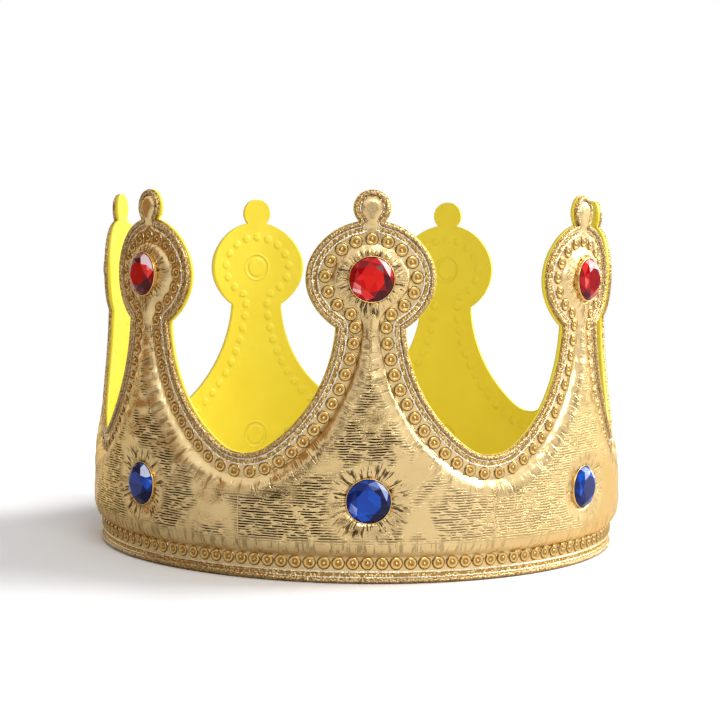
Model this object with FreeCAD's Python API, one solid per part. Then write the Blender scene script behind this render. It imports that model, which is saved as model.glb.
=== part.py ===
import FreeCAD, Part
import math
import os
from FreeCAD import Vector

# A padded party crown: one ring of seven points, each with a waist, an oval head and a small round
# finial. A foam-backed gold film is pressed flat against a yellow lining round every edge, where it
# carries a row of small bosses, and stands up as a soft pad inside that border. A red stone sits in
# each head and a blue one below it, and a strap of hook tape joins the two ends of the band inside
# the back.
# Millimetres, +Z up. The origin is on the table under the middle of the ring, and the front point
# faces -Y.

# The wall is bent from thin sheet, so its plan and the round stretches of its outline are drawn as
# short straight runs: its faces then stay flat and few.

# The ring
point_count = 7
inner_radius = 92.0
lining_thickness = 1.2
film_thickness = 0.45
strips_per_point = 7
end_gap = 0.8
end_margin = 9.0

# Outline of a point, as seen from straight in front of it
valley_height = 40.7
valley_radius = 13.8
flank_radius = 52.0
neck_half_width = 11.0
head_height = 97.6
head_half_width = 20.7
head_half_height = 18.6
head_side_radius = 15.2
finial_rise = 3.8
finial_radius = 5.8
chord_error = 0.18

# Pressed border with its row of bosses
boss_radius = 2.1
boss_rise = 0.95
boss_sides = 6
boss_inset = 6.0
bosses_up_a_side = 20
rim_boss_height = 6.6
rim_boss_count = 123
finial_boss_radius = 4.0
finial_boss_rise = 1.1
finial_boss_sides = 8

# Pad inside the border
pad_gap = 0.4
pad_edge_rise = 1.3
pad_shoulder = 3.5
pad_rise = 3.2
waist_rise = 1.2
head_rise = 2.3

# Stones and their settings
blue_stone_height = 27.0
stone_radius = 7.0
stone_table_radius = 4.4
stone_girdle = 2.4
stone_crown = 1.8
stone_sides = 16
stone_clearance = 0.06
setting_wall = 0.35
setting_floor = 0.5
setting_lip = 0.4
pocket_clearance = 0.15

# Closure inside the back of the band
strap_length = 56.0
strap_height = 22.0
strap_base = 7.5
strap_thickness = 1.0
strap_bend = 10.0
patch_length = 20.0
patch_thickness = 0.8

# What follows from those
half_pitch = math.radians(180.0 / point_count)
lining_radius = inner_radius + lining_thickness
film_radius = lining_radius + film_thickness
pad_inset = boss_inset + boss_radius + pad_gap
pad_base = rim_boss_height + boss_radius + pad_gap
setting_radius = stone_radius + stone_clearance + setting_wall
pocket_radius = setting_radius + pocket_clearance
stone_back = film_radius + setting_floor
setting_rim = stone_back + stone_girdle + setting_lip
finial_height = head_height + head_half_height + finial_rise
top_height = finial_height + finial_radius
flat_radius = film_radius * math.cos(math.pi / (point_count * strips_per_point))
sunk = 0.2
past = 15.0
point_angles = [360.0 / point_count * k for k in range(-(point_count // 2), point_count // 2 + 1)]
stone_heights = {"red": head_height, "blue": blue_stone_height}


def at(x, z, depth=0.0):
    """A place on a drawing that is seen from the front, at a distance in front of the axis."""
    return Vector(x, -depth, z)


def toward(start, end, length):
    """The place at a distance from start on the way to end and past it."""
    step = end.sub(start)
    return start.add(step.multiply(length / step.Length))


def crossings(first, first_radius, second, second_radius):
    """The two places where two circles of the front drawing cross."""
    span = second.sub(first).Length
    along = (span ** 2 + first_radius ** 2 - second_radius ** 2) / (2 * span)
    aside = math.sqrt(first_radius ** 2 - along ** 2)
    foot = toward(first, second, along)
    square = at(second.z - first.z, first.x - second.x)
    return toward(foot, foot.add(square), aside), toward(foot, foot.sub(square), aside)


def bend(centre, start, end):
    """A round stretch as short straight runs, from start up to but without end."""
    radius = start.sub(centre).Length
    first = math.atan2(start.z - centre.z, start.x - centre.x)
    turn = math.atan2(end.z - centre.z, end.x - centre.x) - first
    turn = (turn + math.pi) % (2 * math.pi) - math.pi
    runs = math.ceil(abs(turn) / math.sqrt(8 * chord_error / radius))
    turns = [first + turn * k / runs for k in range(runs)]
    return [centre.add(at(radius * math.cos(angle), radius * math.sin(angle))) for angle in turns]


def turned(shape, degrees):
    """A copy turned about the crown's axis, from the front towards +X."""
    copy = shape.copy()
    copy.rotate(Vector(0, 0, 0), Vector(0, 0, 1), degrees)
    return copy


def round_the_ring(shape):
    """Copies of a shape at every point of the crown, as one shape."""
    copies = [turned(shape, angle) for angle in point_angles]
    return copies[0].multiFuse(copies[1:])


def round_plan(radius, height=0.0):
    """The plan of the ring at a height, in narrow flat strips with one in the middle of each point."""
    strips = point_count * strips_per_point
    turns = [2 * math.pi * (k + 0.5) / strips for k in range(strips + 1)]
    return Part.makePolygon([Vector(radius * math.sin(turn), -radius * math.cos(turn), height)
                             for turn in turns])


def drum(radius):
    """All that lies inside the ring at a radius."""
    return Part.Face(round_plan(radius)).extrude(Vector(0, 0, top_height))


def ring_wall(inner, outer):
    """A wall of the crown's full height between two radii."""
    return drum(outer).cut(drum(inner))


# Centres of the round stretches of a point's outline
valley_x = film_radius * math.sin(half_pitch)
valley_centre = at(valley_x, valley_height + valley_radius)
head_side_centre = at(head_half_width - head_side_radius, head_height)
head_arch_radius = ((head_side_centre.x ** 2 + head_half_height ** 2 - head_side_radius ** 2)
                    / (2 * (head_half_height - head_side_radius)))
lower_arch_centre = at(0, head_height - head_half_height + head_arch_radius)
upper_arch_centre = at(0, head_height + head_half_height - head_arch_radius)
finial_centre = at(0, finial_height)
neck_drop = math.sqrt(head_arch_radius ** 2 - neck_half_width ** 2)
neck_corner = at(neck_half_width, lower_arch_centre.z - neck_drop)
flank_centre = max(crossings(neck_corner, flank_radius, valley_centre, flank_radius - valley_radius),
                   key=lambda place: place.x)


def side_of_point(inset):
    """The right side of a point, moved in from its edge, from the valley to above the head's side."""
    foot = at(valley_x, valley_height - inset)
    bottom_of_flank = toward(flank_centre, valley_centre, flank_radius + inset)
    necks = crossings(lower_arch_centre, head_arch_radius - inset, flank_centre, flank_radius + inset)
    neck = min(necks, key=lambda place: place.z)
    jaw = toward(lower_arch_centre, head_side_centre, head_arch_radius - inset)
    temple = toward(upper_arch_centre, head_side_centre, head_arch_radius - inset)
    top = at(0, head_height + head_half_height - inset)
    places = bend(valley_centre, foot, bottom_of_flank) + bend(flank_centre, bottom_of_flank, neck)
    places += bend(lower_arch_centre, neck, jaw) + bend(head_side_centre, jaw, temple)
    if inset > 0:
        return places + bend(upper_arch_centre, temple, top) + [top]
    joint = max(crossings(upper_arch_centre, head_arch_radius, finial_centre, finial_radius),
                key=lambda place: place.x)
    tip = at(0, top_height)
    return places + bend(upper_arch_centre, temple, joint) + bend(finial_centre, joint, tip) + [tip]


def silhouette(inset, base):
    """Slabs of all points, cut to their outline above a base and joined into one ring."""
    right = side_of_point(inset)
    left = [at(-place.x, place.z) for place in reversed(right[:-1])]
    edge = valley_x + past
    skirt = [at(-edge, right[0].z), at(-edge, base), at(edge, base), at(edge, right[0].z)]
    face = Part.Face(Part.makePolygon(right + left + skirt + right[:1]))
    face.translate(at(0, 0, inner_radius / 2))
    far = 2 * inner_radius
    side = Vector(far * math.sin(half_pitch), -far * math.cos(half_pitch), 0)
    middle = Vector(0, 0, 0)
    share = Part.Face(Part.makePolygon([middle, side, Vector(-side.x, side.y, 0), middle]))
    slab = face.extrude(at(0, 0, inner_radius)).common(share.extrude(Vector(0, 0, top_height)))
    return round_the_ring(slab).removeSplitter()


def behind(width):
    """A block that parts the back of the ring over a width."""
    return Part.makeBox(width, inner_radius, top_height, Vector(-width / 2, inner_radius / 2, 0))


def many_sided(radius, sides, depth, height=0.0):
    """A regular outline with its corners at a radius, facing the front."""
    turns = [2 * math.pi * (corner + 0.5) / sides for corner in range(sides + 1)]
    return Part.makePolygon([at(radius * math.sin(turn), height + radius * math.cos(turn), depth)
                             for turn in turns])


def prism(radius, near, far, height):
    """A bar with as many sides as a stone, which points out through the front of the wall."""
    return Part.Face(many_sided(radius, stone_sides, near, height)).extrude(at(0, 0, far - near))


def closed(faces):
    """The solid inside a set of flat faces."""
    shell = Part.makeShell(faces)
    shell.sewShape()
    solid = Part.makeSolid(shell)
    return solid if solid.Volume > 0 else solid.reversed()


def stacked(levels):
    """The solid between outlines that lie one beyond the other, with flat faces from each to the next."""
    faces = [Part.Face(levels[0]), Part.Face(levels[-1])]
    for lower, upper in zip(levels, levels[1:]):
        near = [corner.Point for corner in lower.Vertexes]
        far = [corner.Point for corner in upper.Vertexes]
        faces += [Part.Face(Part.makePolygon([near[k - 1], near[k], far[k], far[k - 1], near[k - 1]]))
                  for k in range(len(near))]
    return closed(faces)


def boss(radius, sides, rise):
    """One pointed boss at the front of the wall, at table height."""
    foot = many_sided(radius, sides, flat_radius - sunk)
    corners = [corner.Point for corner in foot.Vertexes]
    tip = at(0, 0, film_radius + rise)
    slopes = [Part.Face(Part.makePolygon([corners[k - 1], corners[k], tip, corners[k - 1]]))
              for k in range(sides)]
    return closed([Part.Face(foot)] + slopes)


def boss_places():
    """Angle and height of each boss in the rows along the points and round the rim."""
    half_row = Part.makePolygon(side_of_point(boss_inset))
    steps = half_row.discretize(Number=2 * bosses_up_a_side + 2)[1::2]
    on_point = [(side * math.degrees(math.asin(step.x / film_radius)), step.z)
                for step in steps[:-1] for side in (-1, 1)] + [(0.0, steps[-1].z)]
    places = [(point_angle + angle, height)
              for point_angle in point_angles for angle, height in on_point]
    rim_pitch = 360.0 / (rim_boss_count + 3)
    places += [(rim_pitch * k, rim_boss_height)
               for k in range(-(rim_boss_count // 2), rim_boss_count // 2 + 1)]
    last = 180 - math.degrees((end_gap / 2 + boss_radius + pad_gap) / film_radius)
    return [(angle, height) for angle, height in places if abs(angle) < last]


def make_bosses():
    """Every boss of the border, and the larger one on each finial."""
    small = boss(boss_radius, boss_sides, boss_rise)
    large = boss(finial_boss_radius, finial_boss_sides, finial_boss_rise)
    bosses = [turned(small, angle).translate(Vector(0, 0, height)) for angle, height in boss_places()]
    return bosses + [turned(large, angle).translate(Vector(0, 0, finial_height)) for angle in point_angles]


def make_pad():
    """The soft middle of the front: full along the band, thinner at each waist and in each head."""
    jaw_height = head_height - head_half_height + pad_inset
    brow_height = head_height + head_half_height - pad_inset
    rises = [(pad_base, pad_edge_rise), (pad_base + pad_shoulder, pad_rise), (valley_height, pad_rise),
             (neck_corner.z, waist_rise), (jaw_height, pad_edge_rise), (jaw_height + pad_shoulder, head_rise),
             (brow_height - pad_shoulder, head_rise), (brow_height, pad_edge_rise)]
    swelling = stacked([round_plan(film_radius + rise, height) for height, rise in rises])
    pad = swelling.cut(drum(lining_radius)).common(silhouette(pad_inset, pad_base))
    pad = pad.cut(behind(2 * end_margin))
    pockets = [prism(pocket_radius, inner_radius / 2, film_radius + past, height)
               for height in stone_heights.values()]
    return pad.cut(round_the_ring(pockets[0].fuse(pockets[1])))


def make_front(whole):
    """The gold sheet with its pad and its bosses."""
    border = ring_wall(lining_radius, film_radius).common(whole)
    sheet = border.fuse(make_pad()).cut(behind(end_gap)).removeSplitter()
    return sheet.fuse(Part.makeCompound(make_bosses()))


def make_setting(height):
    """A shallow cup whose back follows the wall and whose rim stands round the stone."""
    cup = prism(setting_radius, inner_radius, setting_rim, height)
    cup = cup.cut(drum(film_radius))
    return cup.cut(prism(stone_radius + stone_clearance, stone_back, setting_rim + past, height))


def make_stone(height):
    """A flat-backed stone with an upright edge, a ring of sloping facets and a table."""
    girdle = stone_back + stone_girdle
    return stacked([many_sided(stone_radius, stone_sides, stone_back, height),
                    many_sided(stone_radius, stone_sides, girdle, height),
                    many_sided(stone_table_radius, stone_sides, girdle + stone_crown, height)])


def tape(outer, thickness, left, right):
    """A strip of tape on the inside of the back, between two places across it."""
    corner = Vector(left, inner_radius / 2, strap_base)
    reach = Part.makeBox(right - left, inner_radius, strap_height, corner)
    return ring_wall(outer - thickness, outer).common(reach)


def back_place(radius, across):
    """A place in plan on the strip of wall beside the middle of the back."""
    slope = math.tan(math.pi / (point_count * strips_per_point))
    return Vector(across, radius - abs(across) * slope, strap_base)


def make_strap():
    """A strap welded to one end of the band, stepped in to lie over the hook tape on the other."""
    start = strap_bend / 2
    stepped = inner_radius - 2 * patch_thickness
    welded = tape(inner_radius, strap_thickness, -strap_length / 2, -start)
    lapped = tape(stepped, strap_thickness, start, strap_length / 2)
    corners = [back_place(inner_radius, -start), back_place(stepped, start),
               back_place(stepped - strap_thickness, start),
               back_place(inner_radius - strap_thickness, -start)]
    step = Part.Face(Part.makePolygon(corners + corners[:1])).extrude(Vector(0, 0, strap_height))
    return welded.multiFuse([step, lapped]).removeSplitter()


def make_patch(outer):
    """A patch of hook or loop tape on the end of the band that the strap closes over."""
    return tape(outer, patch_thickness, strap_length / 2 - patch_length, strap_length / 2)


os.makedirs("parts", exist_ok=True)
whole = silhouette(0.0, 0.0)
lining = ring_wall(inner_radius, lining_radius).common(whole).cut(behind(end_gap))
pieces = {"yellow_lining": lining, "gold_front": make_front(whole), "closing_strap": make_strap(),
          "loop_patch": make_patch(inner_radius), "hook_patch": make_patch(inner_radius - patch_thickness)}
for colour, height in stone_heights.items():
    setting, stone = make_setting(height), make_stone(height)
    for number, angle in enumerate(point_angles, 1):
        pieces[f"{colour}_setting_{number}"] = turned(setting, angle)
        pieces[f"{colour}_stone_{number}"] = turned(stone, angle)

for name, shape in pieces.items():
    shape.exportStep(f"parts/{name}.step")
    print(name, len(shape.Solids), round(shape.Volume, 1), shape.isValid())
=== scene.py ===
import math

import bmesh
import bpy
import numpy as np
from mathutils import Matrix, Vector, noise


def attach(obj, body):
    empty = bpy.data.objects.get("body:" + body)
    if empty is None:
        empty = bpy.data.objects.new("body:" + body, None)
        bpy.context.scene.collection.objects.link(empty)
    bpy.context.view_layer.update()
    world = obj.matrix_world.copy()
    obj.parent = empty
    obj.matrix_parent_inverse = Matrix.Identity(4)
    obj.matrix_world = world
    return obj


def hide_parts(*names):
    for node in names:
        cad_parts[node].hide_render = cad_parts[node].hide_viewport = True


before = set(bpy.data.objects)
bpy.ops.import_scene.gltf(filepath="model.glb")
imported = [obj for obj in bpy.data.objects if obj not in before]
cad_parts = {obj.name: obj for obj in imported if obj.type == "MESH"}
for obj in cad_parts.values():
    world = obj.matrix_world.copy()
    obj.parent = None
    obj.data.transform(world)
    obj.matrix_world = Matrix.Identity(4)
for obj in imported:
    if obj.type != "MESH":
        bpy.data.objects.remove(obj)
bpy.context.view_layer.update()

# Yellow lining
# One sheet of soft yellow plastic, cut flat to the outline of the seven points and bent round into
# a ring. The tools that press the bosses and set the stones leave shallow marks on its inner face.
# Lengths are in millimetres on a drawing of one point, seen from straight in front of it.
millimetre = 0.001
point_count = 7
last_point = point_count // 2
film_radius = 93.65
lining_radius = 93.2
lining_thickness = 1.2
valley_height = 40.7
valley_radius = 13.8
flank_radius = 52.0
neck_half_width = 11.0
head_height = 97.6
head_half_width = 20.7
head_half_height = 18.6
head_side_radius = 15.2
finial_height = 120.0
finial_radius = 5.8
blue_stone_height = 27.0
end_gap = 0.8
lining_overhang = 0.3
column_crowding = 1.1

half_pitch = math.pi / point_count
valley_x = film_radius * math.sin(half_pitch)
valley_centre = complex(valley_x, valley_height + valley_radius)
head_side_centre = complex(head_half_width - head_side_radius, head_height)
arch_radius = ((head_side_centre.real ** 2 + head_half_height ** 2 - head_side_radius ** 2)
               / (2 * (head_half_height - head_side_radius)))
lower_arch_centre = complex(0, head_height - head_half_height + arch_radius)
upper_arch_centre = complex(0, head_height + head_half_height - arch_radius)
finial_centre = complex(0, finial_height)


def crossing(first, first_radius, second, second_radius, side):
    """Where two circles cross, on the left (1) or the right (-1) of the way from first to second."""
    span = abs(second - first)
    along = (span ** 2 + first_radius ** 2 - second_radius ** 2) / (2 * span)
    aside = math.sqrt(first_radius ** 2 - along ** 2)
    return first + (second - first) / span * complex(along, side * aside)


def toward(start, end, length):
    """The place at a distance from start on the way to end and past it."""
    return start + (end - start) / abs(end - start) * length


def bend(centre, start, end, spacing):
    """Places along a round stretch, from start up to but without end."""
    turn = np.angle((end - centre) / (start - centre))
    runs = max(1, math.ceil(abs(turn * (start - centre)) / spacing))
    return list(centre + (start - centre) * np.exp(1j * turn * np.arange(runs) / runs))


neck_drop = math.sqrt(arch_radius ** 2 - neck_half_width ** 2)
neck_corner = complex(neck_half_width, lower_arch_centre.imag - neck_drop)
flank_centre = crossing(neck_corner, flank_radius, valley_centre, flank_radius - valley_radius, 1)


def side_of_point(inset, spacing, finial):
    """The right side of a point's outline, moved in from the edge, from the valley to the top."""
    foot = complex(valley_x, valley_height - inset)
    hip = toward(flank_centre, valley_centre, flank_radius + inset)
    neck = crossing(lower_arch_centre, arch_radius - inset, flank_centre, flank_radius + inset, -1)
    jaw = toward(lower_arch_centre, head_side_centre, arch_radius - inset)
    temple = toward(upper_arch_centre, head_side_centre, arch_radius - inset)
    places = bend(valley_centre, foot, hip, spacing) + bend(flank_centre, hip, neck, spacing)
    places += bend(lower_arch_centre, neck, jaw, spacing) + bend(head_side_centre, jaw, temple, spacing)
    if not finial:
        top = complex(0, head_height + head_half_height - inset)
        return np.array(places + bend(upper_arch_centre, temple, top, spacing) + [top])
    corner = crossing(upper_arch_centre, arch_radius, finial_centre, finial_radius, -1)
    below = toward(upper_arch_centre, corner, arch_radius - inset)
    above = toward(finial_centre, corner, finial_radius - inset)
    tip = complex(0, finial_height + finial_radius - inset)
    places += bend(upper_arch_centre, temple, below, spacing)
    places += bend(corner, below, above, spacing) if inset > 0 else []
    return np.array(places + bend(finial_centre, above, tip, spacing) + [tip])


def distance_from(line, places):
    """How far places lie from a line of the drawing, and how far along it the nearest place is."""
    runs = np.diff(line)
    reach = np.concatenate([[0], np.cumsum(abs(runs))])
    gap = np.full(len(places), np.inf)
    along = np.zeros(len(places))
    for start, run, passed in zip(line, runs, reach):
        share = np.clip(((places - start) * run.conjugate()).real / abs(run) ** 2, 0, 1)
        away = abs(places - start - share * run)
        nearer = away < gap
        gap[nearer] = away[nearer]
        along[nearer] = (passed + share * abs(run))[nearer]
    return gap, along


def column_steps(columns):
    """Shares of a half width at which a sheet's columns stand, closer together towards its edge."""
    return 1 - (1 - np.arange(columns + 1) / columns) ** column_crowding


def flat_sheet(columns, band_rows, spacing, overhang=0.0):
    """Seven points side by side as a flat sheet on Y = 0, with a back one millimetre behind it.

    The points stand past their outline by the overhang, which grows over two millimetres of height.
    """
    edge = side_of_point(0.0, spacing, True)
    heights = np.concatenate([band_rows, edge.imag])
    widths = np.concatenate([np.full(len(band_rows), valley_x), edge.real])
    raised = np.clip((heights - valley_height) / 2, 0, 1)
    widths = np.minimum(valley_x, widths + overhang * raised)
    steps = column_steps(columns)
    flat = bmesh.new()
    for point in range(-last_point, last_point + 1):
        grid = bmesh.ops.create_grid(flat, x_segments=2 * columns, y_segments=len(heights) - 1, size=1)
        for corner in grid["verts"]:
            column = round(corner.co.x * columns)
            row = round((corner.co.y + 1) / 2 * (len(heights) - 1))
            across = math.copysign(steps[abs(column)] * widths[row], column)
            corner.co = (2 * valley_x * point + across, 0, heights[row])
    bmesh.ops.remove_doubles(flat, verts=flat.verts, dist=0.004)
    bmesh.ops.recalc_face_normals(flat, faces=flat.faces)
    bmesh.ops.solidify(flat, geom=flat.faces[:], thickness=1.0)
    return flat


def mesh_of(shape, name):
    """A new piece from a finished bmesh, shaded smooth."""
    for face in shape.faces:
        face.smooth = True
    mesh = bpy.data.meshes.new(name)
    shape.to_mesh(mesh)
    shape.free()
    piece = bpy.data.objects.new(name, mesh)
    bpy.context.scene.collection.objects.link(piece)
    return piece


def drawn_places(piece):
    """Corners of a flat sheet: their point, their place on its drawing, and which are behind."""
    corners = np.empty(len(piece.data.vertices) * 3)
    piece.data.vertices.foreach_get("co", corners)
    across, side, height = corners.reshape(-1, 3).T
    point = np.clip(np.round(across / (2 * valley_x)), -last_point, last_point)
    return point, across - 2 * valley_x * point, height, side > 0.5


def angle_of(point, x):
    """Where places on a point's drawing lie round the ring."""
    return 2 * half_pitch * point + np.arcsin(np.clip(x / film_radius, -1, 1))


def bent_round(piece, point, x, height, radius):
    """Moves a flat sheet's corners round the ring, and keeps its two ends apart at the back."""
    last = math.pi - end_gap / 2 / film_radius
    angle = np.clip(angle_of(point, x), -last, last)
    corners = np.stack([radius * np.sin(angle), -radius * np.cos(angle), height], axis=1)
    piece.data.vertices.foreach_set("co", (corners * millimetre).ravel())
    piece.data.update()


def keep(piece, name, kind, values):
    """Stores a value for each corner, for the material to read."""
    layer = piece.data.attributes.new(name, kind, "POINT")
    layer.data.foreach_set("value" if kind == "FLOAT" else "vector", np.asarray(values, float).ravel())


def outward(piece):
    """Turns every face of a closed piece outwards."""
    shape = bmesh.new()
    shape.from_mesh(piece.data)
    bmesh.ops.recalc_face_normals(shape, faces=shape.faces)
    shape.to_mesh(piece.data)
    shape.free()


band_rows = np.linspace(0, valley_height, 18)[:-1]
lining = mesh_of(flat_sheet(14, band_rows, 2.2, lining_overhang), "lining_sheet")
point, x, height, back = drawn_places(lining)
radius = np.where(back, lining_radius - lining_thickness, lining_radius)
bent_round(lining, point, x, height, radius)
outward(lining)
keep(lining, "drawing", "FLOAT_VECTOR", np.stack([x, height, point], axis=1))

boss_inset = 6.0
bosses_up_a_side = 20
rim_boss_height = 6.6
rim_boss_count = 123
boss_row = side_of_point(boss_inset, 0.5, False)
boss_pitch = 2 * abs(np.diff(boss_row)).sum() / (2 * bosses_up_a_side + 1)
rim_pitch = 2 * math.pi / (rim_boss_count + 3)
row_gap, row_along = distance_from(boss_row, abs(x) + 1j * height)
on_rim = abs(height - rim_boss_height) < row_gap
keep(lining, "row_gap", "FLOAT", np.where(on_rim, height - rim_boss_height, row_gap))
keep(lining, "row_step", "FLOAT", np.where(on_rim, angle_of(point, x) / rim_pitch + 0.5,
                                                row_along / boss_pitch))


def new_finish(name, **constants):
    """A new material with its main shader. What the functions below add goes into the newest one."""
    global nodes, links
    finish = bpy.data.materials.new(name)
    finish.use_nodes = True
    nodes, links = finish.node_tree.nodes, finish.node_tree.links
    main = nodes["Principled BSDF"]
    for socket, value in constants.items():
        main.inputs[socket.replace("_", " ")].default_value = value
    return finish, main


def read(name, output="Fac"):
    """A value that the mesh holds."""
    attribute = nodes.new("ShaderNodeAttribute")
    attribute.attribute_name = name
    return attribute.outputs[output]


def between(value, low, high, bottom=0.0, top=1.0):
    """A value stretched so that low gives bottom and high gives top, and held there beyond them."""
    stretch = nodes.new("ShaderNodeMapRange")
    stretch.interpolation_type = "SMOOTHSTEP"
    for name, number in (("From Min", low), ("From Max", high), ("To Min", bottom), ("To Max", top)):
        stretch.inputs[name].default_value = number
    links.new(value, stretch.inputs["Value"])
    return stretch.outputs["Result"]


def reckon(operation, first, second):
    """One step of arithmetic on two values, either of which may be a plain number."""
    step = nodes.new("ShaderNodeMath")
    step.operation = operation
    for socket, value in zip(step.inputs, (first, second)):
        if isinstance(value, (int, float)):
            socket.default_value = value
        else:
            links.new(value, socket)
    return step.outputs[0]


def stretched(vector, scale):
    """A place with each of its parts made larger or smaller."""
    step = nodes.new("ShaderNodeVectorMath")
    step.operation = "MULTIPLY"
    step.inputs[1].default_value = scale
    links.new(vector, step.inputs[0])
    return step.outputs[0]


def length_of(vector):
    """How long a vector is."""
    step = nodes.new("ShaderNodeVectorMath")
    step.operation = "LENGTH"
    links.new(vector, step.inputs[0])
    return step.outputs["Value"]


def blended(factor, first, second):
    """A colour that goes from the first to the second."""
    mix = nodes.new("ShaderNodeMix")
    mix.data_type = "RGBA"
    for name, colour in (("A", first), ("B", second)):
        if isinstance(colour, tuple):
            mix.inputs[name].default_value = (*colour, 1)
        else:
            links.new(colour, mix.inputs[name])
    links.new(factor, mix.inputs["Factor"])
    return mix.outputs["Result"]


def ramp(value, steps):
    """A colour, or a level of grey, that changes with a value through steps in rising order."""
    scale = nodes.new("ShaderNodeValToRGB")
    stops = scale.color_ramp.elements
    stops[0].position, stops[1].position = steps[0][0], steps[-1][0]
    for where, _ in steps[1:-1]:
        stops.new(where)
    for stop, (_, tone) in zip(stops, steps):
        stop.color = (*tone, 1) if isinstance(tone, tuple) else (tone, tone, tone, 1)
    links.new(value, scale.inputs["Fac"])
    return scale.outputs["Color"]


def own_place():
    """A place on the piece, in metres."""
    return nodes.new("ShaderNodeTexCoord").outputs["Object"]


def bumped(height, depth, strength, normal=None):
    """A surface pressed in or out by a height, of which 1 stands for a depth in millimetres."""
    bump = nodes.new("ShaderNodeBump")
    bump.inputs["Strength"].default_value = strength
    bump.inputs["Distance"].default_value = depth * millimetre
    links.new(height, bump.inputs["Height"])
    if normal:
        links.new(normal, bump.inputs["Normal"])
    return bump.outputs["Normal"]


def shared_texture(name, texture, settings, gives):
    """A shader group for an effect that several finishes share: one texture, with its settings."""
    group = bpy.data.node_groups.new(name, "ShaderNodeTree")
    group.interface.new_socket(name="Place", in_out="INPUT", socket_type="NodeSocketVector")
    for setting in settings:
        group.interface.new_socket(name=setting, in_out="INPUT", socket_type="NodeSocketFloat")
    group.interface.new_socket(name="Height", in_out="OUTPUT", socket_type="NodeSocketFloat")
    given, result = group.nodes.new("NodeGroupInput"), group.nodes.new("NodeGroupOutput")
    inner = group.nodes.new(texture)
    group.links.new(given.outputs["Place"], inner.inputs["Vector"])
    for setting in settings:
        group.links.new(given.outputs[setting], inner.inputs[setting])
    group.links.new(inner.outputs[gives], result.inputs["Height"])
    return group


def textured(group, place, **settings):
    """The height that a shared texture gives at a place."""
    step = nodes.new("ShaderNodeGroup")
    step.node_tree = group
    links.new(place, step.inputs["Place"])
    for setting, value in settings.items():
        step.inputs[setting].default_value = value
    return step.outputs["Height"]


soft_noise = shared_texture("soft_noise", "ShaderNodeTexNoise", ("Scale", "Detail"), "Fac")

lining_finish, plastic = new_finish("soft_yellow_sheet", Roughness=0.42, Specular_IOR_Level=0.35)
on_drawing = stretched(read("drawing", "Vector"), (1, 1, 0))
ring_levels = [(0, 0.75), (0.35, 0.75), (0.41, 0), (0.47, 0.1), (0.53, 1), (0.60, 0.5), (1, 0.5)]
ring_marks = []
for stone_height in (head_height, blue_stone_height):
    from_middle = nodes.new("ShaderNodeVectorMath")
    from_middle.operation = "DISTANCE"
    from_middle.inputs[1].default_value = (0, stone_height, 0)
    links.new(on_drawing, from_middle.inputs[0])
    ring_marks.append(ramp(reckon("MULTIPLY", from_middle.outputs["Value"], 0.1), ring_levels))
half_way = reckon("PINGPONG", read("row_step"), 0.5)
from_boss = nodes.new("ShaderNodeCombineXYZ")
links.new(reckon("MULTIPLY", reckon("SUBTRACT", 0.5, half_way), 4.8), from_boss.inputs["X"])
links.new(read("row_gap"), from_boss.inputs["Y"])
boss_marks = between(length_of(from_boss.outputs[0]), 2.1, 0.7, 0.0, 0.9)
marks = reckon("ADD", reckon("ADD", *ring_marks), boss_marks)
waves = textured(soft_noise, own_place(), Scale=70, Detail=2)
pressed = bumped(marks, 0.5, 0.8)
swollen = bumped(waves, 1.2, 0.35, pressed)
grain = textured(soft_noise, own_place(), Scale=900, Detail=3)
links.new(bumped(grain, 0.1, 0.25, swollen), plastic.inputs["Normal"])
links.new(blended(waves, (0.90, 0.70, 0.035), (0.96, 0.82, 0.07)), plastic.inputs["Base Color"])
lining.data.materials.append(lining_finish)

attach(lining, "root")
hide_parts("yellow_lining")

# Padded gold film
# A thin metallised film over soft foam, welded flat to the lining round every edge. Inside the
# border it stands up as a puffed pad, which sinks in a cone towards each stone. Where the film is
# gathered by the weld and by the stones it puckers, and the puckers run straight away from them.
pad_inset = 8.3
pad_base = 8.9
pad_shoulder = 7.5
end_margin = 9.0
setting_radius = 7.41
stone_heights = (head_height, blue_stone_height)
dip_share = 0.24
dip_reach = 6.0
weld_pucker = 0.85
stone_pucker = 0.7
broad_fold = 0.5
fine_ripple = 0.22
finial_foot = head_height + head_half_height - 2.5
finial_weld = 2.1
finial_puff = 1.25
lifted_height = 0.9
lifted_middle = math.radians(-36)
lifted_spread = math.radians(17)
columns = 36

band_rows = np.concatenate([np.linspace(0, 14, 15)[:-1], np.linspace(14, 30, 15)[:-1],
                            np.linspace(30, valley_height, 12)[:-1]])
flat_film = flat_sheet(columns, band_rows, 1.0)

# The hidden back keeps a quarter of its columns, and its other corners move to the nearest of them.
edge = side_of_point(0.0, 1.0, True)
row_heights = np.concatenate([band_rows, edge.imag])
row_widths = np.concatenate([np.full(len(band_rows), valley_x), edge.real])
steps = column_steps(columns)
for corner in flat_film.verts:
    if corner.co.y > 0.5:
        point = max(-last_point, min(last_point, round(corner.co.x / (2 * valley_x))))
        across = corner.co.x - 2 * valley_x * point
        width = np.interp(corner.co.z, row_heights, row_widths)
        share = min(1.0, abs(across) / max(width, 1e-6))
        column = round(columns * (1 - (1 - share) ** (1 / column_crowding)) / 4) * 4
        corner.co.x = 2 * valley_x * point + math.copysign(steps[column] * width, across)
bmesh.ops.remove_doubles(flat_film, verts=flat_film.verts, dist=0.004)
film = mesh_of(flat_film, "gold_film_pad")
point, x, height, back = drawn_places(film)

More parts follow.
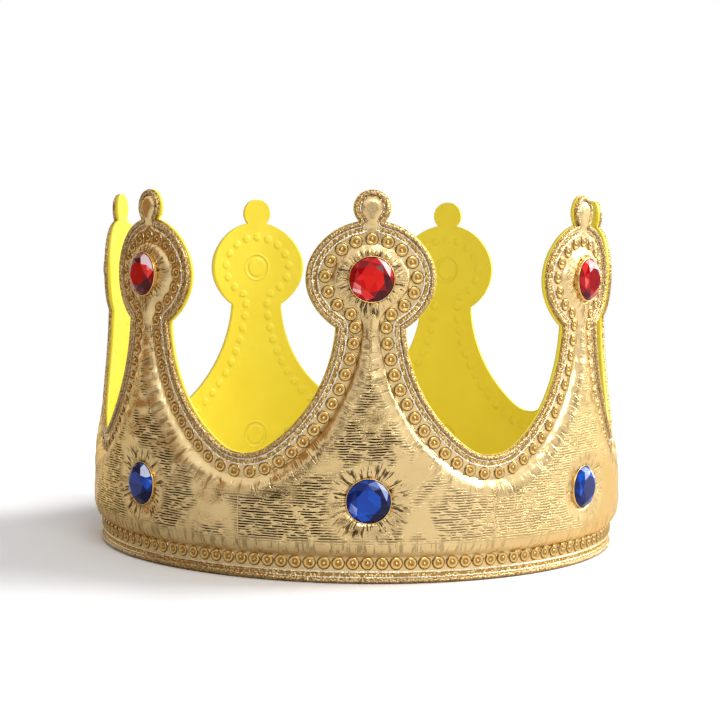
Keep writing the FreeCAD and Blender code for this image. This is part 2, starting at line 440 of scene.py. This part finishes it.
nearest_stone = np.where(abs(height - stone_heights[0]) < abs(height - stone_heights[1]), *stone_heights)
from_stone = x + 1j * (height - nearest_stone)
reach = abs(from_stone)
caught = (reach > setting_radius - 0.5) & (reach < setting_radius + 0.55) & ~back
moved = np.where(caught, from_stone / np.maximum(reach, 1e-6) * (setting_radius + 0.08), from_stone)
x, height, reach = moved.real, moved.imag + nearest_stone, abs(moved)

whole_edge = side_of_point(0.0, 0.5, True)
head_edge = side_of_point(0.0, 0.5, False)
places = abs(x) + 1j * height
edge_gap, _ = distance_from(whole_edge, places)
head_gap, head_along = distance_from(head_edge, places)
head_gap = np.where(height > head_height + head_half_height - 4, np.minimum(head_gap, 4), head_gap)
angle = angle_of(point, x)
from_end = (math.pi - abs(angle)) * film_radius
border = np.minimum(edge_gap, np.minimum(height, from_end - end_gap / 2))


def softly(first, second, blend):
    """The smaller of two lengths, with a rounded change from one to the other."""
    mix = np.clip(0.5 + 0.5 * (second - first) / blend, 0, 1)
    return second + (first - second) * mix - blend * mix * (1 - mix)


def eased(value):
    """A soft step from 0 to 1."""
    value = np.clip(value, 0, 1)
    return value * value * (3 - 2 * value)


def rim_lift(angle):
    """How far the rim stands off the floor: at the left front it is lifted a little."""
    return lifted_height * np.exp(-((angle - lifted_middle) / lifted_spread) ** 2)


inside = softly(softly(head_gap - pad_inset, height - pad_base, 3.0), from_end - end_margin, 2.0)
fullness = np.interp(height, [0, 40, 62, 82, 92, 104, 112], [3.3, 3.3, 2.9, 2.0, 2.6, 2.6, 2.4])
swelling = fullness * np.sqrt(1 - (1 - np.clip(inside / pad_shoulder, 0, 1)) ** 2)
dip = 1 - dip_share * (1 - eased((reach - setting_radius) / dip_reach))
relief = swelling * dip

along_border = np.where(height - pad_base < head_gap - pad_inset, x + 100 * point,
                        head_along + 400 * np.sign(x))
turn = np.angle(from_stone)
for k in np.nonzero((inside > 0) & ~back)[0]:
    seed = 17.0 * point[k]
    pucker = noise.noise(Vector((along_border[k] / 2.1, seed, inside[k] / 14)))
    fold = noise.noise(Vector((x[k] / 13 + 5, height[k] / 10, seed)))
    ripple = noise.noise(Vector((x[k] / 5, height[k] / 3.2, seed + 9)))
    around = 6.5 * Vector((math.cos(turn[k]), math.sin(turn[k]), 0))
    radial = noise.noise(around + Vector((0, 0, seed + nearest_stone[k])))
    near_weld = math.exp(-inside[k] / 4.5) * min(1.0, inside[k] / 1.0)
    near_stone = math.exp(-(reach[k] - setting_radius) / 3.2)
    soft = min(1.0, inside[k] / 4)
    relief[k] += weld_pucker * pucker * near_weld + broad_fold * fold * soft
    relief[k] += fine_ripple * ripple * soft + stone_pucker * radial * near_stone * soft
relief = np.where(reach < setting_radius - 0.4, 0.0, np.maximum(relief, 0.0))

on_finial = height > finial_foot
panel = finial_puff * np.sqrt(1 - (1 - np.clip((edge_gap - finial_weld) / 1.8, 0, 1)) ** 2)
relief += np.where(on_finial, panel * eased((height - finial_foot) / 2.5), 0.0)
border = np.where(on_finial & (border > 2.3), 9.0, border)
height = np.where(back, height, np.maximum(height, rim_lift(angle)))

radius = np.where(back, lining_radius + 0.04, film_radius + relief)
bent_round(film, point, x, height, radius)
outward(film)
keep(film, "drawing", "FLOAT_VECTOR", np.stack([x, height, point], axis=1))
keep(film, "border", "FLOAT", border)
keep(film, "inside", "FLOAT", inside)
stone_way = np.stack([moved.real, moved.imag, point * 3 + nearest_stone], axis=1)
keep(film, "from_stone", "FLOAT_VECTOR", stone_way)
weld_way = np.stack([along_border / 1.25, inside / 9, point * 7], axis=1)
keep(film, "along_weld", "FLOAT_VECTOR", weld_way)

# Creases are an effect that the film uses three times over: broken dark lines, from a noise that is
# drawn out one way and cut off at a level. The lines dent the film, and its colour is painted
# near-black along them: painted shade for the dark that the folds reflect.
streaks = bpy.data.node_groups.new("crease_lines", "ShaderNodeTree")
streaks.interface.new_socket(name="Place", in_out="INPUT", socket_type="NodeSocketVector")
streaks.interface.new_socket(name="Level", in_out="INPUT", socket_type="NodeSocketFloat")
streaks.interface.new_socket(name="Where", in_out="INPUT", socket_type="NodeSocketFloat")
streaks.interface.new_socket(name="Lines", in_out="OUTPUT", socket_type="NodeSocketFloat")
nodes, links = streaks.nodes, streaks.links
given = nodes.new("NodeGroupInput")
result = nodes.new("NodeGroupOutput")
drawn_out = nodes.new("ShaderNodeTexNoise")
drawn_out.inputs["Scale"].default_value = 1.0
drawn_out.inputs["Detail"].default_value = 2.5
drawn_out.inputs["Roughness"].default_value = 0.6
drawn_out.inputs["Distortion"].default_value = 0.35
links.new(given.outputs["Place"], drawn_out.inputs["Vector"])
soft_edge = nodes.new("ShaderNodeMath")
soft_edge.operation = "ADD"
soft_edge.inputs[1].default_value = 0.08
links.new(given.outputs["Level"], soft_edge.inputs[0])
cut_off = nodes.new("ShaderNodeMapRange")
cut_off.interpolation_type = "SMOOTHSTEP"
links.new(drawn_out.outputs["Fac"], cut_off.inputs["Value"])
links.new(given.outputs["Level"], cut_off.inputs["From Min"])
links.new(soft_edge.outputs[0], cut_off.inputs["From Max"])
there = nodes.new("ShaderNodeMath")
there.operation = "MULTIPLY"
links.new(cut_off.outputs["Result"], there.inputs[0])
links.new(given.outputs["Where"], there.inputs[1])
links.new(there.outputs[0], result.inputs["Lines"])

film_finish, metal = new_finish("champagne_gold_film", Metallic=1.0, Specular_Tint=(0.95, 0.78, 0.5, 1))


def crease_lines(vector, level, where):
    """Crease lines in the grain of a place, cut off at a level, where a mask allows them; they dent the
    film and carry its painted shade.
    """
    group = nodes.new("ShaderNodeGroup")
    group.node_tree = streaks
    group.inputs["Level"].default_value = level
    links.new(vector, group.inputs["Place"])
    links.new(where, group.inputs["Where"])
    return group.outputs["Lines"]


place = own_place()
patches = textured(soft_noise, place, Scale=62, Detail=2.5)
drawn_at = nodes.new("ShaderNodeSeparateXYZ")
links.new(read("drawing", "Vector"), drawn_at.inputs[0])
# Painted shade: the creases, with their dark colour, grow denser on the left half of each point, the side
# turned from the key light.
away_from_seam = between(reckon("ABSOLUTE", drawn_at.outputs["X"], 0), 40, 20)
to_the_right = reckon("MULTIPLY", reckon("MULTIPLY", drawn_at.outputs["X"], 0.006), away_from_seam)
more_on_left = reckon("SUBTRACT", patches, to_the_right)
patchy = between(more_on_left, 0.40, 0.50)
from_stone_read = read("from_stone", "Vector")
outwards = nodes.new("ShaderNodeSeparateXYZ")
links.new(from_stone_read, outwards.inputs[0])
flat_way = stretched(from_stone_read, (1, 1, 0))
stone_gap = length_of(flat_way)
direction = nodes.new("ShaderNodeVectorMath")
direction.operation = "NORMALIZE"
links.new(flat_way, direction.inputs[0])
near_a_stone = between(stone_gap, 14.5, 10.5)
far_from_stone = between(stone_gap, 11.0, 14.5)
inside_read = read("inside")
on_pad = between(inside_read, 0.2, 2.2)
past_weld = between(inside_read, 3.0, 6.5)
folds = nodes.new("ShaderNodeTexWave")
folds.bands_direction = "Z"
folds.inputs["Scale"].default_value = 370
folds.inputs["Distortion"].default_value = 4.5
folds.inputs["Detail"].default_value = 2
folds.inputs["Detail Scale"].default_value = 0.35
folds.inputs["Detail Roughness"].default_value = 0.6
links.new(place, folds.inputs["Vector"])
on_folds = reckon("MULTIPLY", reckon("MULTIPLY", patchy, between(folds.outputs["Fac"], 0.25, 0.6)),
                  reckon("MULTIPLY", far_from_stone, past_weld))
level_lines = crease_lines(stretched(place, (280, 280, 850)), 0.41, on_folds)
fan = nodes.new("ShaderNodeVectorMath")
fan.operation = "MULTIPLY_ADD"
fan.inputs[1].default_value = (11, 11, 0)
links.new(direction.outputs[0], fan.inputs[0])
seed = nodes.new("ShaderNodeCombineXYZ")
links.new(outwards.outputs["Z"], seed.inputs["X"])
links.new(reckon("MULTIPLY", stone_gap, 0.22), seed.inputs["Z"])
links.new(seed.outputs[0], fan.inputs[2])
fan_lines = crease_lines(fan.outputs[0], 0.53, reckon("MULTIPLY", near_a_stone, on_pad))
weld_lines = crease_lines(read("along_weld", "Vector"), 0.52,
                          reckon("MULTIPLY", on_pad, between(inside_read, 8.0, 3.0)))
all_lines = reckon("MAXIMUM", reckon("MAXIMUM", level_lines, reckon("MULTIPLY", fan_lines, 0.9)),
                   reckon("MULTIPLY", weld_lines, 0.45))
# Painted shade: the creases, dents and dark colour both, fade to four tenths towards the right of the ring,
# where the key light falls.
round_ring = nodes.new("ShaderNodeSeparateXYZ")
links.new(place, round_ring.inputs[0])
lines = reckon("MULTIPLY", all_lines, between(round_ring.outputs["X"], 0.06, 0.0, 0.4, 1.0))

border_read = read("border")
# Two raised ridges inside the weld: they lift the film, and the colour along them is painted pale, a
# painted highlight on their tops.
weld_ridges_and_highlights = ramp(reckon("MULTIPLY", border_read, 0.1),
                   [(0, 0), (0.155, 0), (0.18, 1), (0.205, 1), (0.23, 0),
                    (0.325, 0), (0.35, 1), (0.375, 1), (0.40, 0), (1, 0)])
granules = shared_texture("granules", "ShaderNodeTexVoronoi", ("Scale",), "Distance")
specks = textured(granules, place, Scale=1150)
in_weld = between(border_read, 3.95, 3.6)
speckled = reckon("MULTIPLY", between(specks, 0.25, 0.65), in_weld)
fine = textured(soft_noise, place, Scale=1500, Detail=2)

ridges = bumped(weld_ridges_and_highlights, 0.35, 0.8)
grained = bumped(speckled, -0.25, 0.7, ridges)
creased = bumped(lines, -0.35, 0.8, grained)
wavy = bumped(patches, 1.6, 0.5, creased)
crinkled = bumped(fine, 0.10, 0.6, wavy)
links.new(crinkled, metal.inputs["Normal"])
ground = blended(patches, (0.74, 0.525, 0.225), (0.87, 0.665, 0.355))
welded = blended(speckled, (0.82, 0.60, 0.27), (0.46, 0.27, 0.07))
by_place = blended(in_weld, ground, welded)
# Painted highlight: the ridges' colour is near-white.
lined = blended(weld_ridges_and_highlights, by_place, (1.0, 0.95, 0.80))
# Painted shade: along the crease lines the colour goes near-black.
links.new(blended(lines, lined, (0.03, 0.014, 0.004)), metal.inputs["Base Color"])
links.new(between(patches, 0.35, 0.65, 0.20, 0.32), metal.inputs["Roughness"])
film.data.materials.append(film_finish)

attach(film, "root")
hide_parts("gold_front")

# Edging
# The outermost two millimetres of the film are pressed into a raised, grained cord that follows the
# whole outline, round the finials, along the rim and up both ends.
edging_inset = 0.95
edging_radius = 0.8
edging_spacing = 1.0

right_side = side_of_point(edging_inset, edging_spacing, True)
one_point = np.concatenate([-right_side.conj(), right_side[::-1][1:]])
path = []
for point in range(-last_point, last_point + 1):
    stretch = one_point if point == last_point else one_point[:-1]
    path += [(point, place.real, place.imag) for place in stretch]
rim_steps = np.arange(0, 2 * valley_x, edging_spacing)
for point in range(last_point, -last_point - 1, -1):
    path += [(point, valley_x - step, edging_inset) for step in rim_steps]
route = bpy.data.curves.new("edging_route", "CURVE")
route.dimensions = "3D"
route.bevel_depth = edging_radius * millimetre
route.bevel_resolution = 2
spline = route.splines.new("POLY")
spline.points.add(len(path) - 1)
spline.use_cyclic_u = True
last_angle = math.pi - (end_gap / 2 + edging_inset) / film_radius
for knot, (point, across, up) in zip(spline.points, path):
    angle = max(-last_angle, min(last_angle, angle_of(point, across)))
    out = film_radius + 0.15
    up += rim_lift(angle) if up < 2 else 0
    knot.co = (*(Vector((out * math.sin(angle), -out * math.cos(angle), up)) * millimetre), 1)
cord = bpy.data.objects.new("edging_route", route)
bpy.context.scene.collection.objects.link(cord)
edging_mesh = bpy.data.meshes.new_from_object(cord.evaluated_get(bpy.context.evaluated_depsgraph_get()))
bpy.data.objects.remove(cord)
edging = bpy.data.objects.new("pressed_edging", edging_mesh)
edging_mesh.name = "pressed_edging"
bpy.context.scene.collection.objects.link(edging)
for face in edging_mesh.polygons:
    face.use_smooth = True
outward(edging)

edging_finish, metal = new_finish("grained_gold_edging", Metallic=1.0, Roughness=0.3)
grains = textured(granules, own_place(), Scale=1400)
links.new(bumped(grains, -0.4, 0.9), metal.inputs["Normal"])
links.new(ramp(grains, [(0, (0.86, 0.66, 0.34)), (0.85, (0.30, 0.17, 0.045))]), metal.inputs["Base Color"])
edging.data.materials.append(edging_finish)

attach(edging, "root")
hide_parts("gold_front")

# Bosses
# Small round bosses pressed into the border, each a ring with a pip in its middle, in a row that
# follows every point six millimetres inside the edge and another along the rim.
boss_sides = 11
boss_profile = [(2.35, -0.02), (2.06, 0.16), (1.66, 0.68), (1.0, 0.12), (0.5, 0.16), (0.2, 0.56)]
boss_wander = 0.12
pip_wander = 0.55

row = side_of_point(boss_inset, 0.5, False)
row_reach = np.concatenate([[0], np.cumsum(abs(np.diff(row)))])
row_stops = row_reach[-1] * (2 * np.arange(bosses_up_a_side + 1) + 1) / (2 * bosses_up_a_side + 1)
row_x = np.interp(row_stops, row_reach, row.real)
row_z = np.interp(row_stops, row_reach, row.imag)
boss_places = []
for point in range(-last_point, last_point + 1):
    for across, up in zip(row_x, row_z):
        for side in ((-1, 1) if across > 0.01 else (1,)):
            boss_places.append((2 * half_pitch * point + side * math.asin(across / film_radius), up))
rim_numbers = range(-(rim_boss_count // 2), rim_boss_count // 2 + 1)
boss_places += [(rim_pitch * number, rim_boss_height) for number in rim_numbers]
last_boss = math.pi - (end_gap / 2 + 2.5) / film_radius
boss_places = [(angle, up) for angle, up in boss_places if abs(angle) < last_boss]

bossing = bmesh.new()
section = [bossing.verts.new((reach, -film_radius - rise, 0)) for reach, rise in boss_profile]
section += [bossing.verts.new((0, -film_radius - boss_profile[-1][1], 0))]
section_edges = [bossing.edges.new(pair) for pair in zip(section, section[1:])]
bmesh.ops.spin(bossing, geom=section + section_edges, cent=(0, 0, 0), axis=(0, 1, 0), angle=2 * math.pi,
               steps=boss_sides, use_merge=True, use_duplicate=False)
bmesh.ops.remove_doubles(bossing, verts=bossing.verts, dist=0.001)
bmesh.ops.holes_fill(bossing, edges=bossing.edges, sides=boss_sides)
reach_layer = bossing.verts.layers.float.new("reach")
for corner in bossing.verts:
    corner[reach_layer] = math.hypot(corner.co.x, corner.co.z) / boss_profile[0][0]
one_boss = bossing.verts[:] + bossing.edges[:] + bossing.faces[:]
for angle, up in boss_places[1:]:
    copy = bmesh.ops.duplicate(bossing, geom=one_boss)["geom"]
    corners = [part for part in copy if isinstance(part, bmesh.types.BMVert)]
    lean = Matrix.Translation((boss_wander * noise.noise(Vector((angle * 31, up * 3.1, 0))), 0, up))
    pip = [corner for corner in corners if corner[reach_layer] < 0.3]
    aside = Vector((noise.noise(Vector((angle * 19, up * 2.3, 4))), 0,
                    noise.noise(Vector((angle * 23, up * 1.7, 8)))))
    bmesh.ops.translate(bossing, vec=pip_wander * aside, verts=pip)
    bmesh.ops.transform(bossing, matrix=Matrix.Rotation(angle, 4, "Z") @ lean, verts=corners)
first = Matrix.Rotation(boss_places[0][0], 4, "Z") @ Matrix.Translation((0, 0, boss_places[0][1]))
corners = [part for part in one_boss if isinstance(part, bmesh.types.BMVert)]
bmesh.ops.transform(bossing, matrix=first, verts=corners)
bmesh.ops.scale(bossing, vec=(millimetre,) * 3, verts=bossing.verts)
bmesh.ops.recalc_face_normals(bossing, faces=bossing.faces)
reach_of_corner = [corner[reach_layer] for corner in bossing.verts]
bossing.verts.layers.float.remove(reach_layer)
bosses = mesh_of(bossing, "pressed_bosses")
keep(bosses, "boss_reach", "FLOAT", reach_of_corner)

boss_finish, metal = new_finish("amber_gold_bosses", Metallic=1.0, Roughness=0.2)
dents = textured(soft_noise, own_place(), Scale=700, Detail=2)
links.new(bumped(dents, 0.3, 0.4), metal.inputs["Normal"])
# The boss's colour from its middle out: a pale pip, painted highlight; a dark groove, painted shade; an
# amber ring; a dark outline, painted shade; and a pale foot ring, painted highlight.
boss_colours_and_painted_light = [(0, (0.95, 0.78, 0.45)), (0.09, (0.80, 0.58, 0.26)), (0.20, (0.46, 0.25, 0.06)),
              (0.42, (0.44, 0.23, 0.055)), (0.55, (0.84, 0.58, 0.22)), (0.75, (0.80, 0.53, 0.18)),
              (0.82, (0.22, 0.11, 0.03)), (0.905, (0.22, 0.11, 0.03)), (0.93, (1.0, 0.95, 0.80)),
              (1, (1.0, 0.95, 0.80))]
links.new(ramp(read("boss_reach"), boss_colours_and_painted_light), metal.inputs["Base Color"])
bosses.data.materials.append(boss_finish)

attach(bosses, "root")
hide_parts("gold_front")

# Settings
# A shallow cup of pressed gold plastic under each stone, with a rounded rim that stands round the
# stone's edge. Its back follows the wall that it is glued to.
setting_profile = [(0, 0.02), (6.9, 0.02), (7.3, 0.04), (setting_radius, 0.2), (setting_radius, 2.55),
                   (7.37, 2.7), (7.24, 2.78), (7.12, 2.7), (7.07, 2.55), (7.07, 0.5), (0, 0.5)]

setting_finish, metal = new_finish("polished_gold_cup", Metallic=1.0, Roughness=0.18,
                                   Base_Color=(0.85, 0.62, 0.28, 1))
scuffs = textured(soft_noise, own_place(), Scale=500, Detail=2)
links.new(bumped(scuffs, 0.2, 0.3), metal.inputs["Normal"])


def onto_wall(shape, number, up):
    """Takes a shape made at the front of the wall to its height on a point, and into metres."""
    turn = Matrix.Rotation(2 * half_pitch * (number - last_point - 1), 4, "Z")
    place = Matrix.Scale(millimetre, 4) @ turn @ Matrix.Translation((0, 0, up))
    bmesh.ops.transform(shape, matrix=place, verts=shape.verts)


for name, stone_height in (("red", head_height), ("blue", blue_stone_height)):
    for number in range(1, point_count + 1):
        cup = bmesh.new()
        section = [cup.verts.new((reach, -film_radius - rise, 0)) for reach, rise in setting_profile]
        section_edges = [cup.edges.new(pair) for pair in zip(section, section[1:])]
        bmesh.ops.spin(cup, geom=section + section_edges, cent=(0, 0, 0), axis=(0, 1, 0),
                       angle=2 * math.pi, steps=48, use_merge=True, use_duplicate=False)
        bmesh.ops.remove_doubles(cup, verts=cup.verts, dist=0.001)
        for corner in cup.verts:
            if corner.co.y > -film_radius - 0.3:
                corner.co.y += film_radius - math.sqrt(film_radius ** 2 - corner.co.x ** 2)
        bmesh.ops.recalc_face_normals(cup, faces=cup.faces)
        onto_wall(cup, number, stone_height)
        setting = mesh_of(cup, f"{name}_cup_{number}")
        setting.data.materials.append(setting_finish)
        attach(setting, "root")
        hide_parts(f"{name}_setting_{number}")

# Stones
# Flat-backed acrylic stones with a foil behind them: an eight-sided table, eight kite facets round
# it and sixteen more down to the edge. Each facet shows its own depth of colour, painted at random
# in place of the foil's reflections; facets that face one way carry a painted glint, and those
# facing another painted shade.
stone_radius = 7.0
kite_radius = 5.75
table_radius = 4.1
stone_back = film_radius + 0.5
stone_girdle = stone_back + 2.4
stone_kites = stone_girdle + 1.15
stone_table = stone_girdle + 1.8
stone_rings = [(16, stone_radius, stone_back, math.pi / 8),
               (16, stone_radius, stone_girdle, math.pi / 8),
               (8, kite_radius, stone_kites, math.pi / 8),
               (8, table_radius, stone_table, 0.0)]
stone_colours_and_glints = {"red": [(0.07, 0.0, 0.003), (0.45, 0.002, 0.004), (0.95, 0.03, 0.025), (1.0, 0.75, 0.78)],
               "blue": [(0.002, 0.004, 0.04), (0.003, 0.022, 0.20), (0.012, 0.10, 0.66), (0.72, 0.80, 1.0)]}
# Painted light on the stones: facets facing glint_way are painted pale, a painted glint, and facets facing
# shade_way darker, painted shade. The last colour of each stone is the glint's.
glint_way = Vector((0.45, -0.62, 0.55)).normalized()
shade_way = Vector((0.35, -0.5, -0.7)).normalized()

for name, stone_height in (("red", head_height), ("blue", blue_stone_height)):
    look, glass = new_finish(f"{name}_faceted_stone", Roughness=0.05, Specular_IOR_Level=0.25)
    inner = nodes.new("ShaderNodeTexVoronoi")
    inner.inputs["Scale"].default_value = 260
    links.new(own_place(), inner.inputs["Vector"])
    cell = nodes.new("ShaderNodeSeparateColor")
    links.new(inner.outputs["Color"], cell.inputs[0])
    depth = reckon("ADD", read("facet_tone_and_light"), reckon("MULTIPLY", cell.outputs[0], 0.2))
    depth_and_glint_colours = list(zip((0, 0.4, 0.72, 1), stone_colours_and_glints[name]))
    links.new(ramp(depth, depth_and_glint_colours), glass.inputs["Base Color"])
    for number in range(1, point_count + 1):
        cut = bmesh.new()
        for sides, ring_radius, out, turn in stone_rings:
            ring = bmesh.ops.create_circle(cut, segments=sides, radius=ring_radius,
                                           matrix=Matrix.Rotation(math.pi / 2, 4, "X"))
            bmesh.ops.rotate(cut, verts=ring["verts"], cent=(0, 0, 0),
                             matrix=Matrix.Rotation(turn, 3, "Y"))
            bmesh.ops.translate(cut, verts=ring["verts"], vec=(0, -out, 0))
        bmesh.ops.delete(cut, geom=cut.edges[:], context="EDGES_FACES")
        bmesh.ops.convex_hull(cut, input=cut.verts[:])
        bmesh.ops.dissolve_limit(cut, angle_limit=0.01, verts=cut.verts, edges=cut.edges)
        spin_in_cup = Matrix.Rotation(0.4 * number + stone_height, 4, "Y")
        bmesh.ops.transform(cut, matrix=spin_in_cup, verts=cut.verts)
        bmesh.ops.recalc_face_normals(cut, faces=cut.faces)
        # Each facet's tone: a random depth painted in place of the foil's reflections, a painted glint and
        # painted shade.
        facet_tones = []
        for face in cut.faces:
            toward_light = eased((face.normal.dot(glint_way) - 0.90) / 0.06)
            in_shade = eased((face.normal.dot(shade_way) - 0.55) / 0.35)
            own = noise.noise(face.calc_center_median() * 0.31 + Vector((7, 3, 5 * number)))
            facet_tones.append(float(0.31 + 0.75 * own + 0.7 * toward_light - 0.3 * in_shade))
        onto_wall(cut, number, stone_height)
        stone = mesh_of(cut, f"{name}_gem_{number}")
        for face in stone.data.polygons:
            face.use_smooth = False
        tones = stone.data.attributes.new("facet_tone_and_light", "FLOAT", "FACE")
        tones.data.foreach_set("value", facet_tones)
        stone.data.materials.append(look)
        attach(stone, "root")
        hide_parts(f"{name}_stone_{number}")

# Closure
# A strap of yellow webbing inside the back, welded to one end of the band, and two patches of hook
# and loop tape that it closes over on the other end.
strap_length = 56.0
strap_height = 22.0
strap_base = 7.5
strap_bend = 10.0
patch_length = 20.0
patch_thickness = 0.8
tape_gap = 0.06
inner_radius = lining_radius - lining_thickness


def tape(name, left, right, outer, thickness, node, look):
    """A strip of tape inside the back, whose outer face lies at a radius that may change along it."""
    strip = bmesh.new()
    bmesh.ops.create_grid(strip, x_segments=48, y_segments=12, size=1)
    for corner in strip.verts:
        across = left + (right - left) * (corner.co.x + 1) / 2
        corner.co = (across, 0, strap_base + strap_height * (corner.co.y + 1) / 2)
    bmesh.ops.recalc_face_normals(strip, faces=strip.faces)
    bmesh.ops.solidify(strip, geom=strip.faces[:], thickness=1.0)
    for corner in strip.verts:
        angle = corner.co.x / inner_radius
        way_in = tape_gap if corner.co.y > 0.5 else thickness - 0.02
        radius = outer(corner.co.x) - way_in
        corner.co = (radius * math.sin(angle), radius * math.cos(angle), corner.co.z)
    bmesh.ops.recalc_face_normals(strip, faces=strip.faces)
    rim = [edge for edge in strip.edges if edge.calc_face_angle(0) > 1.0]
    bmesh.ops.bevel(strip, geom=rim, offset=0.2, offset_type="OFFSET", segments=2, profile=0.5,
                    material=-1, affect="EDGES")
    bmesh.ops.scale(strip, vec=(millimetre,) * 3, verts=strip.verts)
    piece = mesh_of(strip, name)
    piece.data.materials.append(look)
    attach(piece, "root")
    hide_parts(node)


def woven(name, colour, scale, fuzz):
    """A tape finish: a fine weave or pile in the tape's own direction."""
    look, cloth = new_finish(name, Roughness=0.8, Sheen_Weight=0.3)
    place = own_place()
    threads = nodes.new("ShaderNodeTexChecker")
    threads.inputs["Scale"].default_value = scale
    links.new(place, threads.inputs["Vector"])
    mixed = nodes.new("ShaderNodeMix")
    mixed.inputs["Factor"].default_value = fuzz
    links.new(threads.outputs["Fac"], mixed.inputs["A"])
    links.new(textured(soft_noise, place, Scale=scale * 1.3, Detail=2), mixed.inputs["B"])
    links.new(bumped(mixed.outputs["Result"], 0.2, 1.0), cloth.inputs["Normal"])
    shaded = tuple(0.8 * part for part in colour)
    links.new(blended(mixed.outputs["Result"], shaded, colour), cloth.inputs["Base Color"])
    return look


def strap_line(across):
    """Outer face of the strap: on the wall on the left, over both patches on the right."""
    step = min(1, max(0, (across + strap_bend / 2) / strap_bend))
    return inner_radius - 2 * patch_thickness * step * step * (3 - 2 * step)


tape("closing_strap_webbing", -strap_length / 2, strap_length / 2, strap_line, 1.0,
     "closing_strap", woven("yellow_webbing", (0.86, 0.76, 0.08), 1400, 0.3))
tape("loop_tape", strap_length / 2 - patch_length, strap_length / 2, lambda across: inner_radius,
     patch_thickness, "loop_patch", woven("loop_pile", (0.86, 0.84, 0.76), 1800, 0.95))
tape("hook_tape", strap_length / 2 - patch_length, strap_length / 2,
     lambda across: inner_radius - patch_thickness, patch_thickness, "hook_patch",
     woven("moulded_hooks", (0.80, 0.78, 0.70), 1300, 0.1))

# Studio
# A white floor and background, one soft key light from the right and behind, a weaker one from the
# front and a little to the right, and dark cards that only the gold's reflections see.
floor_mesh = bpy.data.meshes.new("floor")
floor_shape = bmesh.new()
bmesh.ops.create_grid(floor_shape, x_segments=1, y_segments=1, size=6)
floor_shape.to_mesh(floor_mesh)
floor_shape.free()
floor = bpy.data.objects.new("floor", floor_mesh)
bpy.context.scene.collection.objects.link(floor)
floor_paint, unused_shader = new_finish("white_floor")
nodes.remove(unused_shader)
matt = nodes.new("ShaderNodeBsdfDiffuse")
rays = nodes.new("ShaderNodeLightPath")
seen = blended(rays.outputs["Is Camera Ray"], (0.8, 0.8, 0.8), (1.17, 1.17, 1.19))
links.new(seen, matt.inputs["Color"])
white = nodes.new("ShaderNodeEmission")
fade = nodes.new("ShaderNodeMixShader")
far_off = between(length_of(own_place()), 0.35, 0.9)
links.new(reckon("MULTIPLY", far_off, rays.outputs["Is Camera Ray"]), fade.inputs[0])
links.new(matt.outputs["BSDF"], fade.inputs[1])
links.new(white.outputs["Emission"], fade.inputs[2])
links.new(fade.outputs[0], nodes["Material Output"].inputs["Surface"])
floor_mesh.materials.append(floor_paint)

world = bpy.data.worlds.new("studio")
bpy.context.scene.world = world
world.use_nodes = True
nodes, links = world.node_tree.nodes, world.node_tree.links
sky = nodes["Background"]
rays = nodes.new("ShaderNodeLightPath")
mirrored = reckon("MAXIMUM", rays.outputs["Is Glossy Ray"], rays.outputs["Is Transmission Ray"])
seen_or_mirrored = reckon("MAXIMUM", rays.outputs["Is Camera Ray"], mirrored)
links.new(between(seen_or_mirrored, 0.0, 1.0, 0.42, 1.0), sky.inputs["Strength"])
sky.inputs["Color"].default_value = (1, 1, 1, 1)


def soft_light(name, place, aim, size, power, colour):
    """A square soft light that faces a place."""
    lamp = bpy.data.lights.new(name, "AREA")
    lamp.size = size
    lamp.energy = power
    lamp.color = colour
    light = bpy.data.objects.new(name, lamp)
    light.location = place
    light.rotation_euler = (Vector(aim) - Vector(place)).to_track_quat("-Z", "Y").to_euler()
    bpy.context.scene.collection.objects.link(light)


soft_light("key", (1.15, 0.32, 0.84), (0, 0, 0.05), 1.0, 27, (1, 0.98, 0.95))
soft_light("fill", (0.3, -1.1, 0.9), (0, 0, 0.06), 0.6, 5, (0.98, 0.99, 1))

cards = [((-0.8, 0.0, 0.2), 1.0, 0.8, (0.30, 0.18, 0.08)),
         ((-0.6, -0.85, 0.15), 0.44, 0.6, (0.09, 0.05, 0.02)),
         ((0.0, -1.25, 0.2), 0.34, 0.7, (0.16, 0.11, 0.06)),
         ((0.8, -0.35, 0.12), 0.14, 0.7, (0.12, 0.08, 0.05)),
         ((-0.2, 0.9, 0.3), 0.4, 0.8, (0.12, 0.08, 0.05))]
for number, (place, width, tall, colour) in enumerate(cards):
    card_paint, _ = new_finish(f"dark_card_{number}", Base_Color=(*colour, 1), Roughness=1.0,
                               Specular_IOR_Level=0.0)
    card_shape = bmesh.new()
    bmesh.ops.create_grid(card_shape, x_segments=1, y_segments=1, size=0.5)
    card_mesh = bpy.data.meshes.new(f"card_{number}")
    facing = Vector((0, 0, 0.06)) - Vector(place)
    pose = Matrix.Translation(place) @ facing.to_track_quat("Z", "Y").to_matrix().to_4x4()
    sized = pose @ Matrix.Diagonal((width, tall, 1, 1))
    bmesh.ops.transform(card_shape, matrix=sized, verts=card_shape.verts)
    card_shape.to_mesh(card_mesh)
    card_shape.free()
    card = bpy.data.objects.new(f"card_{number}", card_mesh)
    bpy.context.scene.collection.objects.link(card)
    card_mesh.materials.append(card_paint)
    card.visible_camera = False
    card.visible_diffuse = False
    card.visible_shadow = False

eye = bpy.data.cameras.new("eye")
eye.lens = 84.1
eye.sensor_width = 36
eye.clip_end = 20
eye.shift_x = 0.0022
view = bpy.data.objects.new("eye", eye)
heading = math.radians(2.3)
distance = 0.626
eye_height = 0.1109
looking_down = 0.0731
tilt = 0.0141
view.location = (-distance * math.sin(heading), -distance * math.cos(heading), eye_height)
look_way = Matrix.Rotation(-heading, 4, "Z") @ Matrix.Rotation(math.pi / 2 - looking_down, 4, "X")
view.rotation_euler = (look_way @ Matrix.Rotation(tilt, 4, "Z")).to_euler()
bpy.context.scene.collection.objects.link(view)
bpy.context.scene.camera = view
bpy.context.scene.view_settings.view_transform = "Standard"
